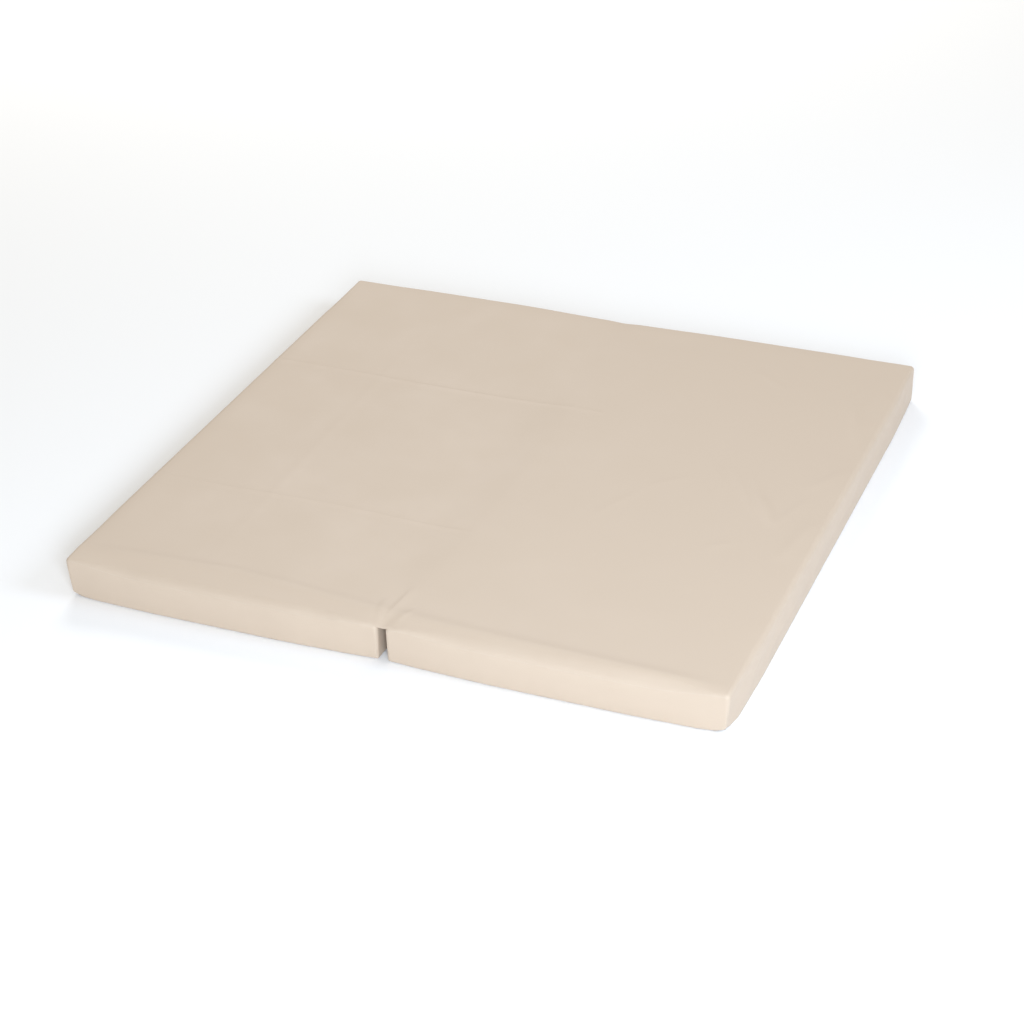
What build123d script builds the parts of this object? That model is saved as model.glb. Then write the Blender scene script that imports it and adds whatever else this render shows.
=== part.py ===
from build123d import *

import os
from math import asin, cos, degrees, radians, sin

# A folding spa cover, laid flat. Two foam halves sit in one sewn jacket of coated cloth. The cloth
# runs over the top from half to half, and is the hinge: the right half folds over onto the left.
# Millimetres. The origin is on the floor under the middle of the cover, +Z is up, -Y is the front
# edge, and the fold runs front to back along Y at x = 0.

# The finished cover
COVER_WIDTH = 1600.0
COVER_DEPTH = 1600.0
FOAM_THICKNESS = 101.6  # four inch foam
FOLD_GAP = 20.0  # between the two hinge walls, cloth to cloth

# The jacket
CLOTH = 0.8
CORNER_RADIUS = 12.0  # upright corners
TOP_EDGE_RADIUS = 10.0
BOTTOM_EDGE_RADIUS = 6.0
RIM_SEAM_ANGLE = 45.0  # where the seams lie, round the top and bottom edges
CORNER_MITRE = 24.0  # how far in the upright seams' mitres are cut
JACKET_EASE = 0.5  # slack between the jacket and the wrapped foam
HINGE_EASE = 2.4  # the same at the hinge wall, where the zip's inside parts run
SEAM_GAP = 0.3  # between the hinge strip and the panels that it is sewn to

# The hinge strip over the fold
STRIP_DIP_ANGLE = 30.0  # how far the strip follows the foam's edge before it spans the gap
HINGE_WALL_TOP_ANGLE = 58.0  # where the hinge wall ends below the strip, round the same edge
PIVOT_HEIGHT = 1.0  # the fold's axis, above the top cloth

# The wrapped foam
FILM = 0.3
FILM_EASE = 0.4  # between the vapour wrap and the foam

# The galvanised channel that stiffens each half along the fold
CHANNEL_WEB = 50.0
CHANNEL_LEG = 25.0
CHANNEL_WALL = 1.0
CHANNEL_FIT = 0.2  # the kerf's clearance round the channel
CHANNEL_SETBACK = 20.0  # from the foam's ends

# The zip in each hinge wall
ZIP_SETBACK = 70.0  # tape ends, from the cover's front and back
ZIP_STAGGER = 24.0  # the left zip runs this much higher than the right one
TAPE_WIDTH = 14.0
TAPE_THICKNESS = 0.6
TAPE_TAIL = 20.0  # bare tape beyond the coils
COIL_WIDTH = 3.0
COIL_HEIGHT = 2.6
COIL_SPLIT = 1.6  # between the two coil rows, where the slider's post runs
STOP_LENGTH = 3.0
STOP_HEIGHT = 2.9
STOP_CORNER = 0.75
SLOT_MARGIN = 0.9  # the hinge wall's cut edge, from the slider's shoulders
SLOT_END = 12.0  # the same, beyond the coils' ends

# The slider and its pull tab
RUNNING_GAP = 0.3
SLIDER_LENGTH = 16.0
SLIDER_PLATE = 1.2
SLIDER_BACK_PLATE = 1.0
SLIDER_FLANGE = 1.0
SLIDER_CORNER = 2.0  # of the outer plate; the flanges stop short of these corners
BACK_PLATE_CORNER = 1.0
BACK_PLATE_SETBACK = 1.0  # from each end of the outer plate
SLIDER_POST_LENGTH = 6.0
CROWN_LENGTH = 11.0
CROWN_WIDTH = 2.0
CROWN_BAR = 1.0
CROWN_OPENING = 1.9
TAB_THICKNESS = 1.2
TAB_ARM = 1.6
TAB_SIDE_GAP = 0.4
TAB_WINDOW = 6.4  # from the pivot to the solid part of the tab
TAB_SWING_GAP = 1.7  # between the tab's tip, swung out, and the other hinge wall

# Heights and layers that follow
layers = CLOTH + JACKET_EASE + FILM + FILM_EASE
cover_height = FOAM_THICKNESS + 2 * layers
mid_height = cover_height / 2
film_inset = CLOTH + JACKET_EASE
film_hinge_inset = CLOTH + HINGE_EASE
foam_inset = film_inset + FILM + FILM_EASE
foam_hinge_inset = film_hinge_inset + FILM + FILM_EASE
wall_x = FOLD_GAP / 2  # the hinge wall's face
edge_x = wall_x + TOP_EDGE_RADIUS  # the centre of the rounded edge over the hinge wall
edge_z = cover_height - TOP_EDGE_RADIUS
seam_fall = 1 - cos(radians(RIM_SEAM_ANGLE))
top_seam_z = cover_height - TOP_EDGE_RADIUS * seam_fall
bottom_seam_z = BOTTOM_EDGE_RADIUS * seam_fall
hinge_seam_z = edge_z + TOP_EDGE_RADIUS * cos(radians(HINGE_WALL_TOP_ANGLE))
strip_half_length = COVER_DEPTH / 2 - CORNER_RADIUS

# The arc that the hinge strip dips in, tangent to the cloth round both foam edges
dip_centres = edge_x / sin(radians(STRIP_DIP_ANGLE))
dip_radius = dip_centres - TOP_EDGE_RADIUS
dip_z = edge_z + dip_centres * cos(radians(STRIP_DIP_ANGLE))

# Zip places that follow. Depths are measured out of the hinge wall's face, into the fold.
tape_length = COVER_DEPTH - 2 * ZIP_SETBACK
coil_length = tape_length - 2 * TAPE_TAIL
tape_top = -CLOTH
tape_back = tape_top - TAPE_THICKNESS
coil_top = tape_top + COIL_HEIGHT
coil_edge = COIL_SPLIT / 2 + COIL_WIDTH
flange_inner = coil_edge + RUNNING_GAP
flange_outer = flange_inner + SLIDER_FLANGE
plate_bottom = coil_top + RUNNING_GAP
plate_top = plate_bottom + SLIDER_PLATE
back_plate_top = tape_back - RUNNING_GAP
back_plate_bottom = back_plate_top - SLIDER_BACK_PLATE
crown_top = plate_top + CROWN_OPENING + CROWN_BAR
pivot_depth = plate_top + CROWN_OPENING / 2
slot_half = flange_outer + SLOT_MARGIN
tab_half_width = CROWN_WIDTH / 2 + TAB_SIDE_GAP + TAB_ARM
tab_reach = FOLD_GAP - pivot_depth - TAB_SWING_GAP
park_y = coil_length / 2 - SLIDER_LENGTH / 2 - RUNNING_GAP

LEFT, RIGHT = -1, 1
NAMES = {LEFT: "left", RIGHT: "right"}
ZIP_HEIGHTS = {LEFT: mid_height + ZIP_STAGGER / 2, RIGHT: mid_height - ZIP_STAGGER / 2}


def half_slab(side, inset, hinge_inset):
    """One half of the cover as a rounded block, drawn in by inset, and at the fold by hinge_inset."""
    near = wall_x + hinge_inset
    far = COVER_WIDTH / 2 - inset
    with BuildPart() as slab:
        with BuildSketch(Plane.XY.offset(inset)):
            with Locations((side * (near + far) / 2, 0)):
                RectangleRounded(far - near, COVER_DEPTH - 2 * inset, CORNER_RADIUS - inset)
        extrude(amount=cover_height - 2 * inset)
        fillet(slab.edges().group_by(Axis.Z)[-1], TOP_EDGE_RADIUS - inset)
        fillet(slab.edges().group_by(Axis.Z)[0], BOTTOM_EDGE_RADIUS - inset)
    return slab.part


def shell_between(outer, inner):
    """The skin between two blocks."""
    with BuildPart() as shell:
        add(outer)
        add(inner, mode=Mode.SUBTRACT)
    return shell.part


def top_panel(shell):
    """The skin above the rim seam, without the stretch over the fold that the hinge strip fills."""
    strip_edge = edge_x + SEAM_GAP
    strip_end = strip_half_length + SEAM_GAP
    with BuildPart() as panel:
        add(shell)
        with BuildSketch(Plane.XY.offset(top_seam_z)):
            Rectangle(COVER_WIDTH, COVER_DEPTH)
            Rectangle(2 * strip_edge, 2 * strip_end, mode=Mode.SUBTRACT)
        extrude(amount=TOP_EDGE_RADIUS, mode=Mode.INTERSECT)
    return panel


def bottom_panel(shell):
    """The skin below the bottom seam."""
    with BuildPart() as panel:
        add(shell)
        with BuildSketch():
            Rectangle(COVER_WIDTH, COVER_DEPTH)
        extrude(amount=bottom_seam_z, mode=Mode.INTERSECT)
    return panel


def wall_panel(shell, corners, top_z):
    """The upright skin inside a plan outline whose slanted ends are the mitred corner seams."""
    with BuildPart() as panel:
        add(shell)
        with BuildSketch(Plane.XY.offset(bottom_seam_z)):
            with BuildLine():
                Polyline(*corners, close=True)
            make_face()
        extrude(amount=top_z - bottom_seam_z, mode=Mode.INTERSECT)
    return panel


def wall_panels(side, shell):
    """The front, back, side and hinge walls of one half. Their seams run at 45 degrees in plan."""
    near = side * wall_x
    far = side * COVER_WIDTH / 2
    end = COVER_DEPTH / 2
    step = side * CORNER_MITRE
    inner_end = end - CORNER_MITRE
    return {
        "front_wall": wall_panel(
            shell,
            [(near, -end), (far, -end), (far - step, -inner_end), (near + step, -inner_end)],
            top_seam_z,
        ),
        "back_wall": wall_panel(
            shell,
            [(near, end), (near + step, inner_end), (far - step, inner_end), (far, end)],
            top_seam_z,
        ),
        "side_wall": wall_panel(
            shell,
            [(far, -end), (far, end), (far - step, inner_end), (far - step, -inner_end)],
            top_seam_z,
        ),
        "hinge_wall": wall_panel(
            shell,
            [(near, -end), (near + step, -inner_end), (near + step, inner_end), (near, end)],
            hinge_seam_z,
        ),
    }


def cut_zip_slot(side, wall):
    """The hinge wall with the long opening that its zip closes."""
    with BuildPart() as slotted:
        add(wall)
        with BuildSketch(Plane.YZ):
            with Locations((0, ZIP_HEIGHTS[side])):
                SlotOverall(coil_length + 2 * SLOT_END, 2 * slot_half)
        extrude(amount=side * edge_x, mode=Mode.SUBTRACT)
    return slotted


def channel_section(side, clearance):
    """The channel's C section, open away from the fold, with its walls grown by a clearance."""
    web_x = wall_x + foam_hinge_inset
    leg_length = CHANNEL_LEG + clearance
    web_wall = CHANNEL_WALL + clearance
    leg_z = (CHANNEL_WEB - CHANNEL_WALL) / 2
    with BuildSketch(Plane.XZ) as section:
        with Locations((side * (web_x + web_wall / 2), mid_height)):
            Rectangle(web_wall, CHANNEL_WEB)
        with Locations(
            (side * (web_x + leg_length / 2), mid_height - leg_z),
            (side * (web_x + leg_length / 2), mid_height + leg_z),
        ):
            Rectangle(leg_length, CHANNEL_WALL + 2 * clearance)
    return section.sketch


def foam_core(side):
    """The foam block, with two kerfs and a shallow rebate along the fold for the channel."""
    half_length = COVER_DEPTH / 2 - foam_inset
    block = half_slab(side, foam_inset, foam_hinge_inset)
    kerf = channel_section(side, CHANNEL_FIT)
    with BuildPart() as core:
        add(block)
        extrude(kerf, amount=half_length, both=True, mode=Mode.SUBTRACT)
    return core


def hinge_channel(side):
    """The C channel, let into the foam with its web flush at the fold."""
    half_length = COVER_DEPTH / 2 - foam_inset - CHANNEL_SETBACK
    section = channel_section(side, 0)
    with BuildPart() as channel:
        extrude(section, amount=half_length, both=True)
    return channel


def vapour_wrap(side):
    """The welded film bag round one foam core."""
    outer = half_slab(side, film_inset, film_hinge_inset)
    inner = half_slab(side, film_inset + FILM, film_hinge_inset + FILM)
    with BuildPart() as wrap:
        add(outer)
        add(inner, mode=Mode.SUBTRACT)
    return wrap


def depth_plane(side, depth):
    """A plane parallel to a hinge wall, at a depth out of the wall's face and at the zip's height."""
    origin = (side * (wall_x - depth), 0, ZIP_HEIGHTS[side])
    return Plane(origin, x_dir=(0, 1, 0), z_dir=(1, 0, 0))


def zip_strip(side, length, low, high, row, bottom_depth, top_depth):
    """A straight bar along the zip, from low to high above or below its centre line."""
    with BuildPart() as strip:
        with BuildSketch(depth_plane(side, bottom_depth)):
            with Locations((0, row * (low + high) / 2)):
                Rectangle(length, high - low)
        extrude(amount=side * (bottom_depth - top_depth))
    return strip


def zip_stops(side):
    """One wide stop across both coils at the front end, and two narrow ones at the rear end."""
    stop_y = coil_length / 2 + RUNNING_GAP + STOP_LENGTH / 2
    row_z = (COIL_SPLIT + COIL_WIDTH) / 2
    with BuildPart() as stops:
        with BuildSketch(depth_plane(side, tape_top)):
            with Locations((-stop_y, 0)):
                RectangleRounded(STOP_LENGTH, 2 * coil_edge, STOP_CORNER)
            with Locations((stop_y, row_z), (stop_y, -row_z)):
                RectangleRounded(STOP_LENGTH, COIL_WIDTH, STOP_CORNER)
        extrude(amount=-side * STOP_HEIGHT)
    return stops


def zip_slider(side):
    """The slider: a flanged outer plate, a back plate behind the tapes, a post and a crown."""
    flange_mid = (flange_inner + flange_outer) / 2
    back_plate_length = SLIDER_LENGTH - 2 * BACK_PLATE_SETBACK
    with BuildPart() as slider:
        with BuildSketch(depth_plane(side, plate_bottom)):
            with Locations((park_y, 0)):
                RectangleRounded(SLIDER_LENGTH, 2 * flange_outer, SLIDER_CORNER)
        extrude(amount=-side * SLIDER_PLATE)
        with BuildSketch(depth_plane(side, tape_top + RUNNING_GAP)):
            with Locations((park_y, flange_mid), (park_y, -flange_mid)):
                Rectangle(SLIDER_LENGTH - 2 * SLIDER_CORNER, SLIDER_FLANGE)
        extrude(amount=-side * (plate_bottom - tape_top - RUNNING_GAP))
        with BuildSketch(depth_plane(side, back_plate_bottom)):
            with Locations((park_y, 0)):
                RectangleRounded(back_plate_length, 2 * flange_inner, BACK_PLATE_CORNER)
        extrude(amount=-side * SLIDER_BACK_PLATE)
        with BuildSketch(depth_plane(side, back_plate_top)):
            with Locations((park_y, 0)):
                Rectangle(SLIDER_POST_LENGTH, COIL_SPLIT - 2 * RUNNING_GAP)
        extrude(amount=-side * (plate_bottom - back_plate_top))
        with BuildSketch(Plane.XY.offset(ZIP_HEIGHTS[side])):
            crown_mid = (plate_top + crown_top) / 2
            opening_mid = plate_top + CROWN_OPENING / 2
            with Locations((side * (wall_x - crown_mid), park_y)):
                Rectangle(crown_top - plate_top, CROWN_LENGTH)
            with Locations((side * (wall_x - opening_mid), park_y)):
                Rectangle(CROWN_OPENING, CROWN_LENGTH - 2 * CROWN_BAR, mode=Mode.SUBTRACT)
        extrude(amount=CROWN_WIDTH / 2, both=True)
    return slider


def zip_pull_tab(side):
    """The pull tab, laid flat along the zip towards the front, with its bar through the crown."""
    window_half = CROWN_WIDTH / 2 + TAB_SIDE_GAP
    tab_bottom = pivot_depth - TAB_THICKNESS / 2
    with BuildPart() as tab:
        with BuildSketch(depth_plane(side, tab_bottom)):
            with Locations((park_y - tab_reach / 2, 0)):
                Rectangle(tab_reach, 2 * tab_half_width)
            with Locations((park_y - TAB_WINDOW / 2, 0)):
                Rectangle(TAB_WINDOW, 2 * window_half, mode=Mode.SUBTRACT)
        extrude(amount=-side * TAB_THICKNESS)
        fillet(tab.edges().filter_by(Axis.X).group_by(Axis.Y)[0], TAB_ARM)
        with BuildSketch(Plane.XY.offset(ZIP_HEIGHTS[side])):
            with Locations((side * (wall_x - pivot_depth), park_y)):
                Circle(TAB_THICKNESS / 2)
        extrude(amount=tab_half_width, both=True)
    return tab


def hinge_strip():
    """The cloth over the fold: it follows both foam edges, then dips between them in one arc."""
    with BuildPart() as strip:
        with BuildSketch(Plane.XZ):
            with BuildLine():
                ends = []
                for grow in (0, -CLOTH):
                    edge = TOP_EDGE_RADIUS + grow
                    valley = dip_radius - grow
                    left = CenterArc((-edge_x, edge_z), edge, 90 - STRIP_DIP_ANGLE, STRIP_DIP_ANGLE)
                    CenterArc((0, dip_z), valley, 270 - STRIP_DIP_ANGLE, 2 * STRIP_DIP_ANGLE)
                    CenterArc((edge_x, edge_z), edge, 90, STRIP_DIP_ANGLE)
                    ends.append(left @ 1)
                Line(ends[0], ends[1])
                Line((edge_x, ends[0].Y), (edge_x, ends[1].Y))
            make_face()
        extrude(amount=strip_half_length, both=True)
    return strip


def hinge_reinforcement():
    """A second layer under the dip, as wide as the gap, that doubles the cloth where it bends."""
    top_radius = dip_radius + CLOTH + SEAM_GAP
    half_angle = degrees(asin((wall_x - SEAM_GAP) / top_radius))
    with BuildPart() as band:
        with BuildSketch(Plane.XZ):
            with BuildLine():
                upper = CenterArc((0, dip_z), top_radius, 270 - half_angle, 2 * half_angle)
                lower = CenterArc((0, dip_z), top_radius + CLOTH, 270 - half_angle, 2 * half_angle)
                Line(upper @ 0, lower @ 0)
                Line(upper @ 1, lower @ 1)
            make_face()
        extrude(amount=strip_half_length, both=True)
    return band


def half_pieces(side):
    """Every piece of one half, by its plain name."""
    outer = half_slab(side, 0, 0)
    inner = half_slab(side, CLOTH, CLOTH)
    shell = shell_between(outer, inner)
    pieces = {
        "foam_core": foam_core(side),
        "vapour_wrap": vapour_wrap(side),
        "hinge_channel": hinge_channel(side),
        "top_panel": top_panel(shell),
        "bottom_panel": bottom_panel(shell),
    }
    pieces.update(wall_panels(side, shell))
    pieces["hinge_wall"] = cut_zip_slot(side, pieces["hinge_wall"].part)
    tape_edge = COIL_SPLIT / 2
    for row, row_name in ((1, "upper"), (-1, "lower")):
        pieces[f"zip_tape_{row_name}"] = zip_strip(
            side, tape_length, tape_edge, tape_edge + TAPE_WIDTH, row, tape_back, tape_top
        )
        pieces[f"zip_coil_{row_name}"] = zip_strip(
            side, coil_length, tape_edge, coil_edge, row, tape_top, coil_top
        )
    pieces["zip_stops"] = zip_stops(side)
    pieces["zip_slider"] = zip_slider(side)
    pieces["zip_pull_tab"] = zip_pull_tab(side)
    return {f"{name}_{NAMES[side]}": piece for name, piece in pieces.items()}


all_pieces = {"hinge_strip": hinge_strip(), "hinge_reinforcement": hinge_reinforcement()}
for half in (LEFT, RIGHT):
    all_pieces.update(half_pieces(half))

os.makedirs("parts", exist_ok=True)
for piece_name, piece in all_pieces.items():
    piece.part.label = piece_name
    export_step(piece.part, f"parts/{piece_name}.step")
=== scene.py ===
"""A folding spa cover laid flat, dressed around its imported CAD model. Metres, in the CAD's frame."""

import logging
import math
from dataclasses import dataclass, field
from enum import Enum
from typing import Callable, Sequence

import bmesh
import bpy
import numpy as np
from mathutils import Matrix, Vector, noise


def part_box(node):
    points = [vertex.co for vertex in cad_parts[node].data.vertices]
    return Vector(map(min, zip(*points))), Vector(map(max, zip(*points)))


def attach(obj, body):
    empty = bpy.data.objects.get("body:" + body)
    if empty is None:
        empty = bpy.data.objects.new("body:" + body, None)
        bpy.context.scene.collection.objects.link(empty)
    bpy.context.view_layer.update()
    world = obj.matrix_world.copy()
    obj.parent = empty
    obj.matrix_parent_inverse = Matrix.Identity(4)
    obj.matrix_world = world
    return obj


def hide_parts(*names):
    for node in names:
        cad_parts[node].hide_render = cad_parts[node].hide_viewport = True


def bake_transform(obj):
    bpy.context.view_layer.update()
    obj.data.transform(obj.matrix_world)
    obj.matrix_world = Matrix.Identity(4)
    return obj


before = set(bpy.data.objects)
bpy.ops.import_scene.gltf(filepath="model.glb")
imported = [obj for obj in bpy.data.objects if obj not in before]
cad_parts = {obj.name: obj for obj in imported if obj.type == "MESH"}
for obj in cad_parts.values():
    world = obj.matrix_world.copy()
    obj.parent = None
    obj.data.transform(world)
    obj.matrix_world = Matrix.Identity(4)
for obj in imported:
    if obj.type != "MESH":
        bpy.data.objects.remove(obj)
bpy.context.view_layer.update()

LOG = logging.getLogger("spa_cover")
MM = 0.001
Array = np.ndarray
Shape = Callable[[Array, Array], tuple[Array, Array]]


class Side(Enum):
    """The two halves. The value is the sign of x."""

    LEFT = -1
    RIGHT = 1

    @property
    def word(self) -> str:
        """The half's name in the names of its pieces."""
        return self.name.lower()

    @property
    def body(self) -> str:
        """The CAD body that this half is."""
        return f"{self.word}_half"


class Wall(Enum):
    """The upright walls of a half, numbered round its outline from the front."""

    FRONT = 0
    SIDE = 1
    BACK = 2
    HINGE = 3


# ---------------------------------------------------------------- small tools


def ease(t: Array) -> Array:
    """Smooth step from 0 to 1 as t goes from 0 to 1.

    Args:
        t: any values; they are clipped to 0..1.

    Returns:
        The eased values.
    """
    t = np.clip(t, 0.0, 1.0)
    return t * t * (3 - 2 * t)


def soft_max(a: Array, b: Array, k: float) -> Array:
    """The larger of two values, rounded off over k where they meet.

    Args:
        a: first values.
        b: second values.
        k: how wide the rounding is.

    Returns:
        The soft maximum.
    """
    return 0.5 * (a + b + np.sqrt((a - b) ** 2 + k * k))


def ripple(x: Array, y: Array, size: float, seed: float) -> Array:
    """Smooth random undulation over the plan.

    Args:
        x: plan positions.
        y: plan positions.
        size: width of one swell in metres.
        seed: which pattern.

    Returns:
        Values of about -1 to 1.
    """
    flat = [noise.noise(Vector((a / size, b / size, seed))) for a, b in zip(x.ravel(), y.ravel())]
    return np.array(flat).reshape(x.shape)


def lines_of(start: float, end: float, pitch: float, fine: Sequence[tuple[float, float, float]] = ()) -> Array:
    """Grid lines from start to end that crowd together where detail is.

    Args:
        start: first line.
        end: last line.
        pitch: the usual spacing.
        fine: places as (where, reach, pitch there).

    Returns:
        The positions of the lines.
    """
    s = np.linspace(start, end, 4001)
    density = np.full_like(s, 1 / pitch)
    for where, reach, close in fine:
        density = np.maximum(density, np.exp(-(((s - where) / reach) ** 2)) / close)
    total = np.concatenate(([0], np.cumsum((density[1:] + density[:-1]) / 2 * np.diff(s))))
    count = max(int(round(total[-1])), 1)
    return np.interp(np.linspace(0, total[-1], count + 1), total, s)


def grid_piece(name: str, u: Array, v: Array, shape: Shape, outward: Callable[[Vector], Vector]) -> bmesh.types.BMesh:
    """A grid whose vertices are laid onto a surface.

    Args:
        name: the piece's name, for the log.
        u: the surface's first coordinate at each grid line.
        v: the second coordinate at each grid line.
        shape: gives points and normals for arrays of u and v.
        outward: the way a face at a place should look.

    Returns:
        The mesh, facing outward.
    """
    bm = bmesh.new()
    bmesh.ops.create_grid(bm, x_segments=len(u) - 1, y_segments=len(v) - 1, size=0.5)
    co = np.array([p.co for p in bm.verts])
    span = np.ptp(co[:, :2], axis=0)
    ij = np.rint((co[:, :2] - co[:, :2].min(0)) / span * [len(u) - 1, len(v) - 1]).astype(int)
    if len(bm.verts) != len(u) * len(v):
        raise RuntimeError(f"{name}: the grid has {len(bm.verts)} vertices")
    points, _ = shape(u[ij[:, 0]], v[ij[:, 1]])
    for vert, point in zip(bm.verts, points):
        vert.co = point
    bm.normal_update()
    bm.faces.ensure_lookup_table()
    middle = bm.faces[len(bm.faces) // 2]
    if middle.normal.dot(outward(middle.calc_center_median())) < 0:
        bmesh.ops.reverse_faces(bm, faces=bm.faces)
    return bm


def make_object(name: str, bm: bmesh.types.BMesh, material: bpy.types.Material, sharp: float = 50.0) -> bpy.types.Object:
    """An object from a mesh in the making, smooth but for its sharp edges.

    Args:
        name: the piece's name.
        bm: the mesh, which is freed.
        material: its finish.
        sharp: edges that bend by more than this many degrees stay sharp.

    Returns:
        The new object.
    """
    mesh = bpy.data.meshes.new(name)
    bm.to_mesh(mesh)
    bm.free()
    mesh.shade_smooth()
    mesh.set_sharp_from_angle(angle=math.radians(sharp))
    mesh.materials.append(material)
    made = bpy.data.objects.new(name, mesh)
    bpy.context.scene.collection.objects.link(made)
    return made


def bake(piece: bpy.types.Object, sharp: float = 50.0) -> bpy.types.Object:
    """Applies a piece's modifiers, so that its mesh is final.

    Args:
        piece: the object.
        sharp: edges that bend by more than this many degrees stay sharp.

    Returns:
        The same object.
    """
    bpy.context.view_layer.update()
    done = bpy.data.meshes.new_from_object(piece.evaluated_get(bpy.context.evaluated_depsgraph_get()))
    done.name = piece.name
    piece.modifiers.clear()
    piece.data = done
    done.shade_smooth()
    done.set_sharp_from_angle(angle=math.radians(sharp))
    return piece


def thicken(piece: bpy.types.Object, thickness: float) -> bpy.types.Object:
    """Gives a sheet its thickness on the side away from its normals.

    Args:
        piece: an open sheet.
        thickness: in metres.

    Returns:
        The same object, with its mesh final.
    """
    shell = piece.modifiers.new("thickness", "SOLIDIFY")
    shell.thickness = thickness
    shell.offset = -1
    return bake(piece)


def report(piece: bpy.types.Object) -> bpy.types.Object:
    """Logs a finished piece and its size in faces."""
    LOG.info("%s: %d faces", piece.name, len(piece.data.polygons))
    return piece


# ---------------------------------------------------------------- finishes


def linear(colour: str) -> tuple[float, float, float, float]:
    """Turns an sRGB hex colour to linear light.

    Args:
        colour: six hex digits.

    Returns:
        Red, green, blue and 1.
    """
    parts = [int(colour[k : k + 2], 16) / 255 for k in (0, 2, 4)]
    return (*[c / 12.92 if c <= 0.04045 else ((c + 0.055) / 1.055) ** 2.4 for c in parts], 1.0)


def add_node(
    tree: bpy.types.NodeTree, kind: str, inputs: dict | None = None, links: dict | None = None, **settings: object
) -> bpy.types.Node:
    """Adds one node with its settings and links.

    Args:
        tree: the node tree.
        kind: the node's type.
        inputs: values for sockets, by name or number.
        links: output sockets that feed sockets, by name or number.
        settings: the node's own properties.

    Returns:
        The node.
    """
    made = tree.nodes.new(kind)
    for key, value in settings.items():
        setattr(made, key, value)
    for key, value in (inputs or {}).items():
        made.inputs[key].default_value = value
    for key, source in (links or {}).items():
        tree.links.new(source, made.inputs[key])
    return made


def new_finish(name: str, sockets: dict) -> tuple[bpy.types.Material, bpy.types.NodeTree, bpy.types.Node]:
    """A material with only a shader and its output.

    Args:
        name: the real material.
        sockets: values for the shader's own sockets.

    Returns:
        The material, its tree and its shader node.
    """
    material = bpy.data.materials.new(name)
    material.use_nodes = True
    tree = material.node_tree
    tree.nodes.clear()
    shader = add_node(tree, "ShaderNodeBsdfPrincipled", sockets)
    add_node(tree, "ShaderNodeOutputMaterial", links={"Surface": shader.outputs[0]})
    return material, tree, shader


def wave_scale(period: float) -> float:
    """The Wave texture's scale for bands this many metres apart."""
    return 2 * math.pi / 20 / period


@dataclass(frozen=True)
class CoatedCloth:
    """Polyester cloth with a soft vinyl coating, calendered.

    The coat is matt with a faint satin light, the weave just tells through it, and it has a fine
    pebbled grain. It lies in slightly different tints from one stretch to the next.
    """

    name: str = "vinyl_coated_polyester"
    colour: str = "C9B8A5"
    deep: str = "C4B29F"
    roughness: float = 0.55
    grain: float = 1.6 * MM
    thread: float = 0.9 * MM
    patch: float = 160 * MM

    def material(self) -> bpy.types.Material:
        """Builds the material."""
        made, tree, shader = new_finish(
            self.name, {"Roughness": self.roughness, "Specular IOR Level": 0.35, "Sheen Weight": 0.05, "Sheen Roughness": 0.5}
        )
        at = add_node(tree, "ShaderNodeTexCoord").outputs["Object"]
        clouds = add_node(tree, "ShaderNodeTexNoise", {"Scale": 1 / self.patch, "Detail": 4.0, "Roughness": 0.6}, {"Vector": at})
        tint = add_node(tree, "ShaderNodeMix", {6: linear(self.deep), 7: linear(self.colour)}, {0: clouds.outputs[0]}, data_type="RGBA")
        tree.links.new(tint.outputs[2], shader.inputs["Base Color"])
        bands = [
            add_node(tree, "ShaderNodeTexWave", {"Scale": wave_scale(self.thread), "Distortion": 0.6, "Detail": 1.0, "Detail Scale": 2.0}, {"Vector": at}, bands_direction=way)
            for way in ("X", "Y", "Z")
        ]
        sum_xy = add_node(tree, "ShaderNodeMath", links={0: bands[0].outputs[1], 1: bands[1].outputs[1]}, operation="ADD")
        weave = add_node(tree, "ShaderNodeMath", links={0: sum_xy.outputs[0], 1: bands[2].outputs[1]}, operation="ADD")
        pebble = add_node(tree, "ShaderNodeTexNoise", {"Scale": 1 / self.grain, "Detail": 2.0}, {"Vector": at})
        first = add_node(tree, "ShaderNodeBump", {"Strength": 0.06, "Distance": 0.08 * MM}, {"Height": weave.outputs[0]})
        second = add_node(tree, "ShaderNodeBump", {"Strength": 0.12, "Distance": 0.10 * MM}, {"Height": pebble.outputs[0], "Normal": first.outputs[0]})
        tree.links.new(second.outputs[0], shader.inputs["Normal"])
        rub = add_node(tree, "ShaderNodeMapRange", {1: 0.3, 2: 0.7, 3: self.roughness - 0.05, 4: self.roughness + 0.07}, {0: clouds.outputs[0]})
        tree.links.new(rub.outputs[0], shader.inputs["Roughness"])
        return made


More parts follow.
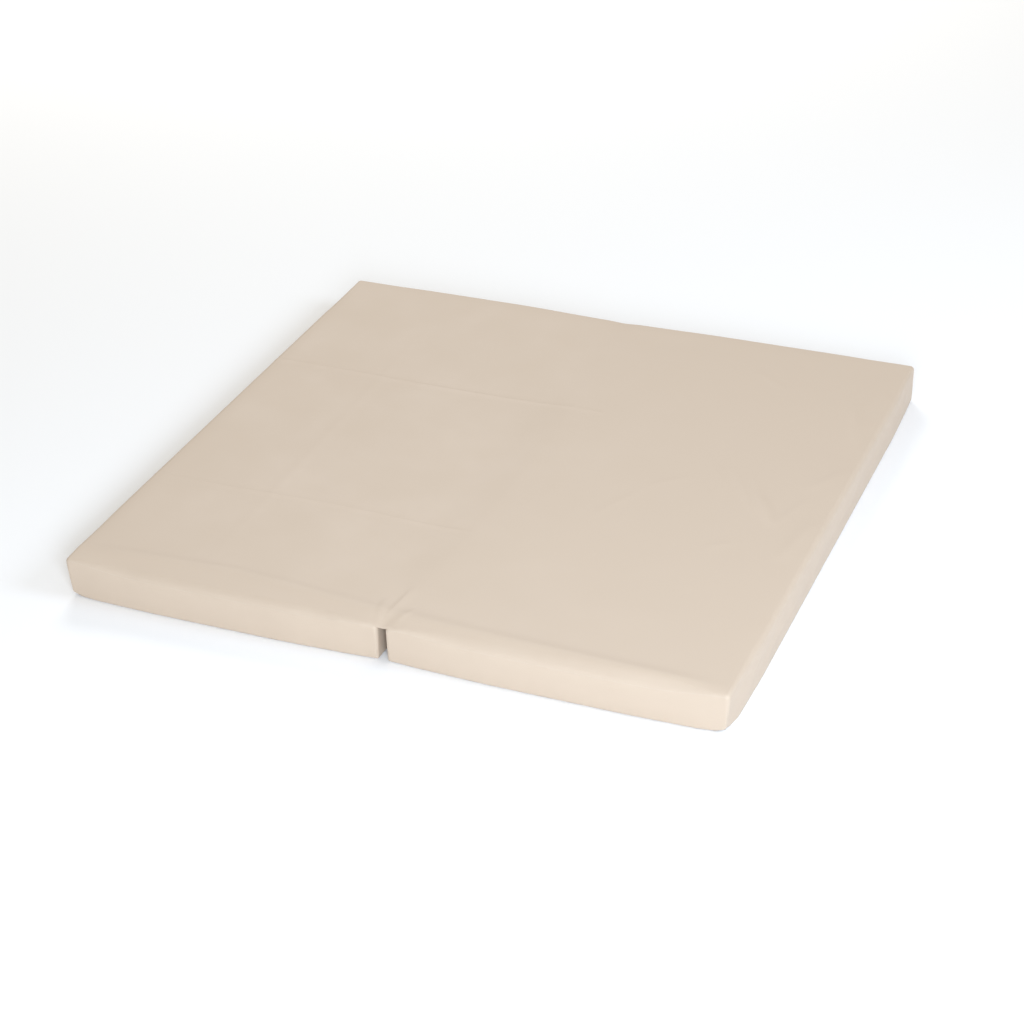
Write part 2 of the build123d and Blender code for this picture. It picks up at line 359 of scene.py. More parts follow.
@dataclass(frozen=True)
class Woven:
    """Uncoated woven polyester or nylon, as tape, webbing, scrim or thread.

    Matt, with raised yarns that cross and a dusty light at grazing angles.
    """

    name: str
    colour: str
    deep: str
    yarn: float
    roughness: float = 0.85
    depth: float = 0.15 * MM

    def material(self) -> bpy.types.Material:
        """Builds the material."""
        made, tree, shader = new_finish(self.name, {"Roughness": self.roughness, "Specular IOR Level": 0.25, "Sheen Weight": 0.2, "Sheen Roughness": 0.4})
        at = add_node(tree, "ShaderNodeTexCoord").outputs["Object"]
        bands = [
            add_node(tree, "ShaderNodeTexWave", {"Scale": wave_scale(self.yarn), "Distortion": 0.8, "Detail": 1.0}, {"Vector": at}, bands_direction=way)
            for way in ("DIAGONAL", "Y", "Z")
        ]
        pair = add_node(tree, "ShaderNodeMath", links={0: bands[0].outputs[1], 1: bands[1].outputs[1]}, operation="MAXIMUM")
        weave = add_node(tree, "ShaderNodeMath", links={0: pair.outputs[0], 1: bands[2].outputs[1]}, operation="MULTIPLY")
        tint = add_node(tree, "ShaderNodeMix", {6: linear(self.deep), 7: linear(self.colour)}, {0: weave.outputs[0]}, data_type="RGBA")
        bump = add_node(tree, "ShaderNodeBump", {"Strength": 0.6, "Distance": self.depth}, {"Height": weave.outputs[0]})
        tree.links.new(tint.outputs[2], shader.inputs["Base Color"])
        tree.links.new(bump.outputs[0], shader.inputs["Normal"])
        return made


@dataclass(frozen=True)
class BeadFoam:
    """Expanded polystyrene, moulded in a block and cut with a hot wire.

    White and matt, made of pressed beads whose borders show as fine creases.
    """

    bead: float = 4.0 * MM

    def material(self) -> bpy.types.Material:
        """Builds the material."""
        made, tree, shader = new_finish("expanded_polystyrene", {"Roughness": 0.7, "Specular IOR Level": 0.3, "Subsurface Weight": 0.1, "Subsurface Scale": 2 * MM})
        at = add_node(tree, "ShaderNodeTexCoord").outputs["Object"]
        beads = add_node(tree, "ShaderNodeTexVoronoi", {"Scale": 1 / self.bead}, {"Vector": at}, feature="DISTANCE_TO_EDGE")
        border = add_node(tree, "ShaderNodeMapRange", {1: 0.0, 2: 0.12}, {0: beads.outputs[0]})
        tint = add_node(tree, "ShaderNodeMix", {6: linear("D8D8D4"), 7: linear("F0F0EC")}, {0: border.outputs[0]}, data_type="RGBA")
        bump = add_node(tree, "ShaderNodeBump", {"Strength": 0.5, "Distance": 0.3 * MM}, {"Height": border.outputs[0]})
        tree.links.new(tint.outputs[2], shader.inputs["Base Color"])
        tree.links.new(bump.outputs[0], shader.inputs["Normal"])
        return made


@dataclass(frozen=True)
class VapourFilm:
    """Blown polyethylene film, heat sealed round the foam.

    Milky and half clear, with a soft plastic shine and fine crinkles.
    """

    crinkle: float = 25 * MM

    def material(self) -> bpy.types.Material:
        """Builds the material."""
        made, tree, shader = new_finish(
            "polyethylene_film", {"Base Color": linear("E4E6E4"), "Roughness": 0.28, "IOR": 1.51, "Transmission Weight": 0.35}
        )
        at = add_node(tree, "ShaderNodeTexCoord").outputs["Object"]
        folds = add_node(tree, "ShaderNodeTexNoise", {"Scale": 1 / self.crinkle, "Detail": 5.0, "Roughness": 0.65}, {"Vector": at})
        bump = add_node(tree, "ShaderNodeBump", {"Strength": 0.5, "Distance": 0.6 * MM}, {"Height": folds.outputs[0]})
        cloud = add_node(tree, "ShaderNodeMapRange", {1: 0.3, 2: 0.7, 3: 0.2, 4: 0.4}, {0: folds.outputs[0]})
        tree.links.new(bump.outputs[0], shader.inputs["Normal"])
        tree.links.new(cloud.outputs[0], shader.inputs["Roughness"])
        return made


@dataclass(frozen=True)
class GalvanisedSteel:
    """Sheet steel, hot dip galvanised and then rolled to a channel.

    Blue-grey, in flat spangles of differing brightness, a little dulled by air.
    """

    spangle: float = 9 * MM

    def material(self) -> bpy.types.Material:
        """Builds the material."""
        made, tree, shader = new_finish("galvanised_steel", {"Metallic": 1.0, "Roughness": 0.42})
        at = add_node(tree, "ShaderNodeTexCoord").outputs["Object"]
        plates = add_node(tree, "ShaderNodeTexVoronoi", {"Scale": 1 / self.spangle, "Randomness": 1.0}, {"Vector": at})
        shade = add_node(tree, "ShaderNodeSeparateColor", links={0: plates.outputs["Color"]})
        tint = add_node(tree, "ShaderNodeMix", {6: linear("8E9498"), 7: linear("B9BFC2")}, {0: shade.outputs[0]}, data_type="RGBA")
        gloss = add_node(tree, "ShaderNodeMapRange", {3: 0.32, 4: 0.55}, {0: shade.outputs[1]})
        tree.links.new(tint.outputs[2], shader.inputs["Base Color"])
        tree.links.new(gloss.outputs[0], shader.inputs["Roughness"])
        return made


@dataclass(frozen=True)
class NylonFilament:
    """Drawn nylon monofilament, dyed in the mass, as zip coil.

    Smooth, half glossy, with slightly paler crowns.
    """

    def material(self) -> bpy.types.Material:
        """Builds the material."""
        made, tree, shader = new_finish("nylon_monofilament", {"Roughness": 0.32, "IOR": 1.53})
        at = add_node(tree, "ShaderNodeTexCoord").outputs["Object"]
        streak = add_node(tree, "ShaderNodeTexNoise", {"Scale": 1 / (1.2 * MM), "Detail": 2.0}, {"Vector": at})
        tint = add_node(tree, "ShaderNodeMix", {6: linear("C9BCAD"), 7: linear("DDD2C4")}, {0: streak.outputs[0]}, data_type="RGBA")
        tree.links.new(tint.outputs[2], shader.inputs["Base Color"])
        return made


@dataclass(frozen=True)
class NickelPlate:
    """Die-cast zinc alloy with a nickel plate, as zip sliders and stops.

    Warm grey and mirror-like under a haze of handling, with faint casting ripples.
    """

    def material(self) -> bpy.types.Material:
        """Builds the material."""
        made, tree, shader = new_finish("nickel_plated_zinc", {"Metallic": 1.0, "Roughness": 0.25})
        at = add_node(tree, "ShaderNodeTexCoord").outputs["Object"]
        haze = add_node(tree, "ShaderNodeTexNoise", {"Scale": 1 / (3 * MM), "Detail": 5.0}, {"Vector": at})
        tint = add_node(tree, "ShaderNodeMix", {6: linear("A9A59D"), 7: linear("C6C2BA")}, {0: haze.outputs[0]}, data_type="RGBA")
        gloss = add_node(tree, "ShaderNodeMapRange", {1: 0.3, 2: 0.7, 3: 0.18, 4: 0.38}, {0: haze.outputs[0]})
        bump = add_node(tree, "ShaderNodeBump", {"Strength": 0.15, "Distance": 0.05 * MM}, {"Height": haze.outputs[0]})
        tree.links.new(tint.outputs[2], shader.inputs["Base Color"])
        tree.links.new(gloss.outputs[0], shader.inputs["Roughness"])
        tree.links.new(bump.outputs[0], shader.inputs["Normal"])
        return made


# ---------------------------------------------------------------- the cover's shape


@dataclass(frozen=True)
class Wrinkle:
    """One soft ridge in the top cloth, from start to end in plan, in metres."""

    start: tuple[float, float]
    end: tuple[float, float]
    height: float
    width: float

    def lift(self, x: Array, y: Array) -> Array:
        """How far the ridge lifts the cloth.

        Args:
            x: plan positions.
            y: plan positions.

        Returns:
            Heights in metres.
        """
        ax, ay = self.start
        dx, dy = self.end[0] - ax, self.end[1] - ay
        run = dx * dx + dy * dy
        t = ((x - ax) * dx + (y - ay) * dy) / run
        inside = np.clip(t, 0, 1)
        gap = np.hypot(x - ax - inside * dx, y - ay - inside * dy)
        return 1.6 * self.height * np.exp(-((gap / self.width) ** 2)) * np.sqrt(np.clip(np.sin(np.pi * inside), 0, 1) + 0.02)


@dataclass(frozen=True)
class CoverShape:
    """The outer face of the sewn jacket: its outline, its soft rim and how the cloth lies on the foam."""

    half_width: float
    half_depth: float
    height: float
    wall_x: float
    corner: float = 9 * MM  # the outer upright corners
    fold_corner: float = 8 * MM  # the upright corners beside the fold
    rim_crisp: float = 10 * MM  # the rim's radius near the upright corners
    rim_soft: float = 26 * MM  # and in the middle of each edge, where the foam is dented
    rim_zone: float = 50 * MM
    foot: float = 6 * MM  # the bottom edge's radius
    turn: float = 1.3 * MM  # how far each panel is turned in at its seams
    cloth: float = 0.8 * MM
    hem_angle: float = 45.0
    tuck_up: float = 1 * MM  # how far the bottom corners are drawn up
    nip: float = 8 * MM  # how far the two outer front corners' very ends are drawn up
    corner_out: float = 2 * MM  # how far the outer corners are pushed out by the foam
    bulge: float = 5 * MM
    step: float = 4.9 * MM  # the right half stands this much higher at the fold
    wrinkles: tuple[Wrinkle, ...] = field(
        default=(
            Wrinkle((0.477, 0.130), (0.535, -0.010), 0.9 * MM, 9 * MM),
            Wrinkle((0.520, 0.125), (0.632, -0.070), 1.0 * MM, 9 * MM),
            Wrinkle((0.565, 0.120), (0.668, -0.095), 1.1 * MM, 10 * MM),
            Wrinkle((0.630, 0.010), (0.690, -0.110), 1.4 * MM, 9 * MM),
            Wrinkle((0.730, 0.030), (0.692, -0.100), 1.3 * MM, 9 * MM),
            Wrinkle((0.444, 0.054), (0.350, -0.030), 0.6 * MM, 8 * MM),
            Wrinkle((0.360, -0.022), (0.271, -0.217), 0.7 * MM, 8 * MM),
            Wrinkle((0.250, 0.152), (0.254, 0.000), 0.5 * MM, 9 * MM),
            Wrinkle((0.270, 0.520), (0.305, 0.400), 0.5 * MM, 9 * MM),
            Wrinkle((0.410, 0.640), (0.520, 0.560), 0.6 * MM, 10 * MM),
            Wrinkle((0.715, 0.540), (0.765, 0.340), 1.3 * MM, 14 * MM),
            Wrinkle((0.620, -0.210), (0.575, -0.250), 0.8 * MM, 10 * MM),
            Wrinkle((0.770, -0.060), (0.745, -0.250), 1.7 * MM, 16 * MM),
            Wrinkle((0.780, 0.200), (0.720, 0.080), 1.1 * MM, 14 * MM),
            Wrinkle((-0.030, -0.700), (-0.012, -0.790), 1.6 * MM, 7 * MM),
            Wrinkle((0.050, -0.720), (0.016, -0.792), 1.2 * MM, 7 * MM),
            Wrinkle((0.012, -0.640), (-0.002, -0.770), 1.0 * MM, 8 * MM),
            Wrinkle((-0.490, 0.700), (-0.480, -0.700), 0.4 * MM, 12 * MM),
        )
    )

    @classmethod
    def from_frame(cls) -> "CoverShape":
        """Reads the cover's size from the CAD nodes."""
        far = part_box("side_wall_right")[1]
        return cls(far.x, far.y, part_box("top_panel_right")[1].z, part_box("hinge_wall_right")[0].x)

    def from_corner(self, x: Array, y: Array) -> tuple[Array, Array]:
        """Distances to the nearest upright corner, along x and along y.

        Args:
            x: plan positions.
            y: plan positions.

        Returns:
            The two distances, not below 0.
        """
        along = np.minimum(np.abs(x) - self.wall_x, self.half_width - np.abs(x))
        return np.clip(along, 0, None), np.clip(self.half_depth - np.abs(y), 0, None)

    def edge_distance(self, x: Array, y: Array, nx: Array, ny: Array) -> Array:
        """How far a point of the outline is from the nearest upright corner.

        Args:
            x: the point.
            y: the point.
            nx: the outline's normal there.
            ny: the same.

        Returns:
            The distance along the edge.
        """
        cx, cy = self.from_corner(x, y)
        return np.where(np.abs(nx) > np.abs(ny), cy, cx)

    def rim_radius(self, c: Array, ny: Array) -> Array:
        """The rim's radius at a distance from the nearest corner: softest at the front, crispest at the back."""
        soft = 15 * MM + (self.rim_soft - 15 * MM) * np.clip(-ny, 0, 1) ** 2 - 4 * MM * np.clip(ny, 0, 1) ** 2
        return self.rim_crisp + (soft - self.rim_crisp) * ease((c - 15 * MM) / (170 * MM))

    def outset(self, x: Array, c: Array) -> Array:
        """How far the walls stand out of the plain outline at a distance from the nearest corner."""
        return self.corner_out * ease((np.abs(x) - 50 * MM) / 0.3) + self.bulge * ease(c / (260 * MM))

    def tuck_in(self, x: Array, y: Array, c: Array, nx: Array) -> Array:
        """How far the bottom edge is drawn in: most on the side walls at the outer front corners."""
        outer = ease(np.abs(x) / 0.4)
        most = 2 * MM + 3 * MM * outer + 4 * MM * nx**2 * outer
        return most * (0.15 + 0.85 * ease(-y / 0.4)) * (1 - ease(c / (80 * MM)))

    def under_z(self, x: Array, y: Array) -> Array:
        """Height of the underside, which lies on the floor but for its drawn up corners."""
        cx, cy = self.from_corner(x, y)
        c = np.maximum(cx, cy)
        nip = self.nip * ease(np.abs(x) / 0.4) * ease(-y / 0.4) * (1 - ease(c / (32 * MM)))
        return self.tuck_up * (1 - ease(c / (80 * MM))) + nip

    def top_z(self, x: Array, y: Array) -> Array:
        """Height of the top cloth, before its rim rolls down.

        Args:
            x: plan positions.
            y: plan positions.

        Returns:
            Heights in metres.
        """
        w, d = self.half_width, self.half_depth
        z = self.height - 4.8 * MM + 2.2 * MM * ease((-x - 60 * MM) / 0.28) + 0.8 * MM * ease((x - 0.5) / 0.2)
        boat = np.clip(1 - np.abs(y / 0.715) ** 2.4, 0, 1)
        reach = 14 * MM + 36 * MM * boat
        ramp = soft_max(1 - soft_max(1 - (x + reach) / (2 * reach), 0 * x, 0.05), 0 * x, 0.22)
        z = z + self.step * boat**0.8 * ramp * (1 - ease((x - reach) / 0.42))
        span = ease((w - np.abs(x) - 10 * MM) / 0.12)
        side_span = ease((d - np.abs(y) - 10 * MM) / 0.16)
        # The front edge: a long soft roll with a ridge behind it, longest on the left half
        front = y + d
        roll = np.interp((x + w) / (2 * w), [0, 0.25, 0.47, 0.6, 0.9, 1], [0.06, 0.085, 0.055, 0.044, 0.028, 0.022])
        z = z - 6.5 * MM * (1 - ease(front / roll)) * (0.3 + 0.7 * span)
        z = z + 2.6 * MM * np.exp(-(((front - roll) / (16 * MM)) ** 2)) * (0.2 + 0.8 * span)
        z = z - 1.0 * MM * (1 - ease((d - y) / (40 * MM))) * span
        z = z - 1.8 * MM * (1 - ease((w - x) / (34 * MM))) * side_span
        z = z - 1.2 * MM * (1 - ease((w + x) / (35 * MM))) * side_span
        # The cloth sinks where the fold runs out at the front and the back
        ends = np.exp(-((x / (30 * MM)) ** 2))
        z = z - ends * (5.0 * MM * (1 - ease(front / 0.085)) + 2.5 * MM * (1 - ease((d - y) / 0.07)))
        # Packing creases across the left half, left by folding the jacket in its carton
        for at, until, high in ((-0.372, 0.0, 0.9 * MM), (0.272, 0.09, 1.1 * MM)):
            wander = at + 4 * MM * np.sin(x * 9 + at * 5)
            z = z + high * np.exp(-np.abs((y - wander) / (6 * MM)) ** 1.5) * (1 - ease((x - until) / 0.06))
        for wrinkle in self.wrinkles:
            z = z + wrinkle.lift(x, y)
        inner = ease((w - np.abs(x)) / 0.1) * ease((d - np.abs(y)) / 0.1)
        z = z + inner * (0.45 * MM * ripple(x, y, 0.21, 3.1) + 0.22 * MM * ripple(x, y * 0.8, 0.07, 8.7))
        return np.minimum(z, self.height + 0.25 * MM)

    def skin_z(self, x: Array, y: Array) -> Array:
        """Height of the jacket's outer face anywhere in plan, with its rolled rim.

        Args:
            x: plan positions.
            y: plan positions.

        Returns:
            Heights in metres.
        """
        cx, cy = self.from_corner(x, y)
        fall = 0 * x
        for inside, c, ny in ((self.half_width - np.abs(x), cy, 0 * y), (cy, cx, np.sign(y))):
            radius = self.rim_radius(c, ny)
            out = np.clip(1 - (inside + self.outset(x, c)) / radius, 0, 1)
            fall = np.maximum(fall, radius * (1 - np.sqrt(1 - out * out)))
        return self.top_z(x, y) - fall

    def plate(self, u: Array, v: Array, x_range: tuple[float, float], under: bool) -> tuple[Array, Array]:
        """A flat panel whose rim rolls over to its seam.

        Args:
            u: position across; beyond the outline by any amount means turned in at the seam.
            v: position front to back, likewise.
            x_range: the panel's lowest and highest x.
            under: whether it is an underside, which rolls up.

        Returns:
            Points and outward normals.
        """
        hx, hy = (x_range[1] - x_range[0]) / 2, self.half_depth
        xc, zone = (x_range[1] + x_range[0]) / 2, self.rim_zone
        ex, ey = (np.abs(u - xc) - (hx - zone)) / zone, (np.abs(v) - (hy - zone)) / zone
        sx, sy = np.where(u < xc, -1.0, 1.0), np.where(v < 0, -1.0, 1.0)
        m = np.maximum(np.maximum(ex, ey), 0)
        ax, ay = np.clip(ex, 0, None), np.clip(ey, 0, None)
        most = np.maximum(np.maximum(ax, ay), 1e-9)
        t = np.where(ax >= ay, 0.5 * ay / most, 1 - 0.5 * ax / most)
        turn = np.clip((t - 0.25) / 0.5, 0, 1) * np.pi / 2
        low, high = np.clip(t / 0.25, 0, 1), np.clip((t - 0.75) / 0.25, 0, 1)
        round_off = np.where(np.abs(xc + sx * hx) < self.wall_x + 1 * MM, self.fold_corner, self.corner)
        run = zone - round_off
        corner_x = hx - round_off + round_off * np.cos(turn) - high * run
        corner_y = hy - round_off + round_off * np.sin(turn) - (1 - low) * run
        both, only_x = (ex > 0) & (ey > 0), ex > 0
        px = np.where(both, corner_x, np.where(only_x, hx, np.abs(u - xc)))
        py = np.where(both, corner_y, np.where(only_x, np.abs(v), hy))
        nx = np.where(both, np.cos(turn), np.where(only_x, 1.0, 0.0)) * sx
        ny = np.where(both, np.sin(turn), np.where(only_x, 0.0, 1.0)) * sy
        px, py = xc + px * sx, py * sy
        c = self.edge_distance(px, py, nx, ny)
        radius = np.full_like(c, self.foot) if under else self.rim_radius(c, ny)
        shift = self.outset(px, c) * np.where(np.abs(px) < self.wall_x + 1 * MM, 0, 1)
        if under:
            shift = shift - self.tuck_in(px, py, c, nx)
        flat_share, inside = 0.5, np.clip(m, 0, 1)
        # The flat part runs from the zone's inner edge to where the rim starts to roll
        k = np.clip(inside / flat_share, 0, 1)
        cx, cy = px - nx * zone, py - ny * zone
        cx = np.where(both, xc + sx * (hx - zone), cx)
        cy = np.where(both, sy * (hy - zone), cy)
        phi = np.clip((inside - flat_share) / (1 - flat_share), 0, 1) * math.radians(self.hem_angle)
        edge = shift * k - radius * (1 - np.sin(phi))
        x = np.where(m > 0, cx + k * (px + nx * edge - cx), u)
        y = np.where(m > 0, cy + k * (py + ny * edge - cy), v)
        fall = radius * (1 - np.cos(phi))
        if under:
            z = self.under_z(np.where(m > 0, cx + k * (px - cx), u), np.where(m > 0, cy + k * (py - cy), v)) + fall
        else:
            z = self.top_z(x, y) - fall
        up = np.where(under, -1.0, 1.0)
        points = np.stack([x, y, z], -1)
        normals = np.stack([nx * np.sin(phi), ny * np.sin(phi), up * np.cos(phi)], -1)
        return points - normals * (self.turn * (m > 1.0001))[:, None], normals

    def wall(self, side: Side, wall: Wall, t: Array, q: Array) -> tuple[Array, Array]:
        """A wall of one half.

        Args:
            side: which half.
            wall: which of its walls.
            t: along the outline: 0..1 the first corner's half, 1..2 the straight, 2..3 the other corner's half.
            q: down the wall: 0..1 the rim's lower half, 1..2 the upright, 2..3 the bottom edge's upper half.
               Beyond 0 or 3, either means turned in at a seam.

        Returns:
            Points and outward normals.
        """
        near, far, end = self.wall_x + self.fold_corner, self.half_width - self.corner, self.half_depth
        corners = [
            (near, self.fold_corner - end, self.fold_corner),
            (far, self.corner - end, self.corner),
            (far, end - self.corner, self.corner),
            (near, end - self.fold_corner, self.fold_corner),
        ]
        first, last = corners[wall.value], corners[(wall.value + 1) % 4]
        tc = np.clip(t, 0, 3)
        angle = math.radians(225 + 90 * wall.value) + (np.clip(tc, 0, 1) + np.clip(tc - 2, 0, 1)) * math.pi / 4
        share = np.clip(tc - 1, 0, 1)
        nx, ny = np.cos(angle), np.sin(angle)
        cx, cy, r = (first[k] + (last[k] - first[k]) * share for k in range(3))
        px, py = cx + r * nx, cy + r * ny
        hinge = wall is Wall.HINGE
        c = self.edge_distance(px, py, nx, ny)
        radius = np.full_like(c, self.rim_crisp) if hinge else self.rim_radius(c, ny)
        out = 0 * c if hinge else self.outset(px, c)
        start = math.radians(58 if hinge else self.hem_angle)
        seam = out - radius * (1 - math.sin(math.radians(self.hem_angle)))
        crown_x = self.wall_x + self.rim_crisp + 0 * px if hinge else px + nx * seam
        crown = self.top_z(side.value * crown_x, py + (0 if hinge else ny * seam)) - (1.0 * MM if hinge else 0)
        qc = np.clip(q, 0, 3)
        phi = start + (math.pi / 2 - start) * np.clip(qc, 0, 1)
        psi = math.radians(45) * np.clip(qc - 2, 0, 1)
        down = np.clip(qc - 1, 0, 1)
        base = self.under_z(px, py)
        tuck = self.tuck_in(px, py, c, nx)
        top, bottom = crown - radius, base + self.foot
        if hinge:
            straight = 88 * MM + (8 * MM - 88 * MM) * down
            level = straight + (top - 88 * MM) * np.clip((straight - 76 * MM) / (12 * MM), 0, 1)
            level = level + (bottom - 8 * MM) * np.clip((24 * MM - straight) / (16 * MM), 0, 1)
        else:
            level = top + (bottom - top) * down
        slack = (0.6 + 2.6 * nx**2) * MM * ripple(px + py + 0.8 * down * self.height, 2 * down * self.height, 0.075, 5.3)
        belly = (0.0 if hinge else 1.6 * MM + slack) * np.sin(math.pi * down) * ease(c / (80 * MM))
        off = out + belly - tuck * down**1.6 - radius * (1 - np.sin(phi)) - self.foot * (1 - np.cos(psi))
        z = np.where(qc < 1, crown - radius * (1 - np.cos(phi)), np.where(qc < 2, level, bottom - self.foot * np.sin(psi)))
        points = np.stack([side.value * (px + nx * off), py + ny * off, z], -1)
        flat = np.sin(phi) * np.cos(psi)
        normals = np.stack([side.value * nx * flat, ny * flat, np.cos(phi) - np.sin(psi)], -1)
        turned = (t < 0) | (t > 3) | (q < 0) | (q > 3)
        return points - normals * (self.turn * turned)[:, None], normals


# ---------------------------------------------------------------- the sewn pieces


@dataclass
class Seamstress:
    """Makes rows of stitches."""

    thread: bpy.types.Material
    pitch: float = 6 * MM
    length: float = 4.2 * MM
    width: float = 0.9 * MM

    def row(self, bm: bmesh.types.BMesh, points: Array, normals: Array) -> None:
        """Sews one row of stitches into a mesh.

        Args:
            bm: the mesh that the stitches go into.
            points: points along the row.
            normals: the cloth's normals there.
        """
        gaps = np.linalg.norm(np.diff(points, axis=0), axis=1)
        run = np.concatenate(([0], np.cumsum(gaps)))
        count = int(run[-1] / self.pitch)
        batch, spare = bmesh.new(), bpy.data.meshes.new("stitches")
        for number, at in enumerate((np.arange(count) + 0.5) * run[-1] / count):
            here, there = (np.array([np.interp(s, run, points[:, k]) for k in range(3)]) for s in (at, at + 0.2 * self.pitch))
            up = Vector([np.interp(at, run, normals[:, k]) for k in range(3)]).normalized()
            along = Vector(there - here).normalized()
            across = up.cross(along).normalized()
            turn = Matrix((along, across, along.cross(across))).transposed().to_4x4()
            size = Matrix.Diagonal((self.length / 2, self.width / 2, self.width / 2 * 0.7, 1))
            bmesh.ops.create_uvsphere(
                batch, u_segments=6, v_segments=4, radius=1, matrix=Matrix.Translation(Vector(here) + up * 0.1 * MM) @ turn @ size
            )
            if number % 40 == 39 or number == count - 1:
                batch.to_mesh(spare)
                bm.from_mesh(spare)
                batch.clear()
        batch.free()
        bpy.data.meshes.remove(spare)

    def rows(self, name: str, tracks: Sequence[tuple[Array, Array]]) -> bpy.types.Object:
        """One piece of thread made of several rows.

        Args:
            name: the piece's name.
            tracks: points and normals of each row.

        Returns:
            The thread.
        """
        bm = bmesh.new()
        for points, normals in tracks:
            self.row(bm, points, normals)
        return make_object(name, bm, self.thread)


@dataclass
class TopCloth:
    """The one top cloth that lies over both halves and is the cover's hinge."""

    shape: CoverShape
    finish: bpy.types.Material
    pitch: float = 9.5 * MM

    def lines(self, half: float, fine: Sequence[tuple[float, float, float]]) -> Array:
        """Grid lines from rim to rim.

        Args:
            half: half the cloth's size that way.
            fine: where the lines crowd.

        Returns:
            The lines, with one more beyond each rim for the turned in hem.
        """
        zone = self.shape.rim_zone
        steps = np.concatenate((np.linspace(0, 0.5, 5), np.linspace(0.5, 1, 8)[1:], [1.02])) * zone
        middle = lines_of(-half + zone, half - zone, self.pitch, fine)
        rim = half - zone + steps[1:]
        return np.concatenate((-rim[::-1], middle, rim))

    def build(self) -> bpy.types.Object:
        """Makes the cloth and hangs it between the halves."""
        s = self.shape
        u = self.lines(s.half_width, [(0, 9 * MM, 1.6 * MM), (0.046, 12 * MM, 3 * MM), (-0.04, 18 * MM, 5 * MM)])
        v = self.lines(s.half_depth, [(-0.372, 10 * MM, 2.5 * MM), (0.272, 10 * MM, 2.5 * MM), (-0.70, 30 * MM, 6 * MM)])
        limits = (-s.half_width, s.half_width)
        bm = grid_piece("top_cloth", u, v, lambda a, b: s.plate(a, b, limits, False), lambda _: Vector((0, 0, 1)))
        cloth = thicken(make_object("top_cloth", bm, self.finish), s.cloth)
        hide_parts("top_panel_left", "top_panel_right", "hinge_strip")
        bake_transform(cloth)
        return report(cloth)


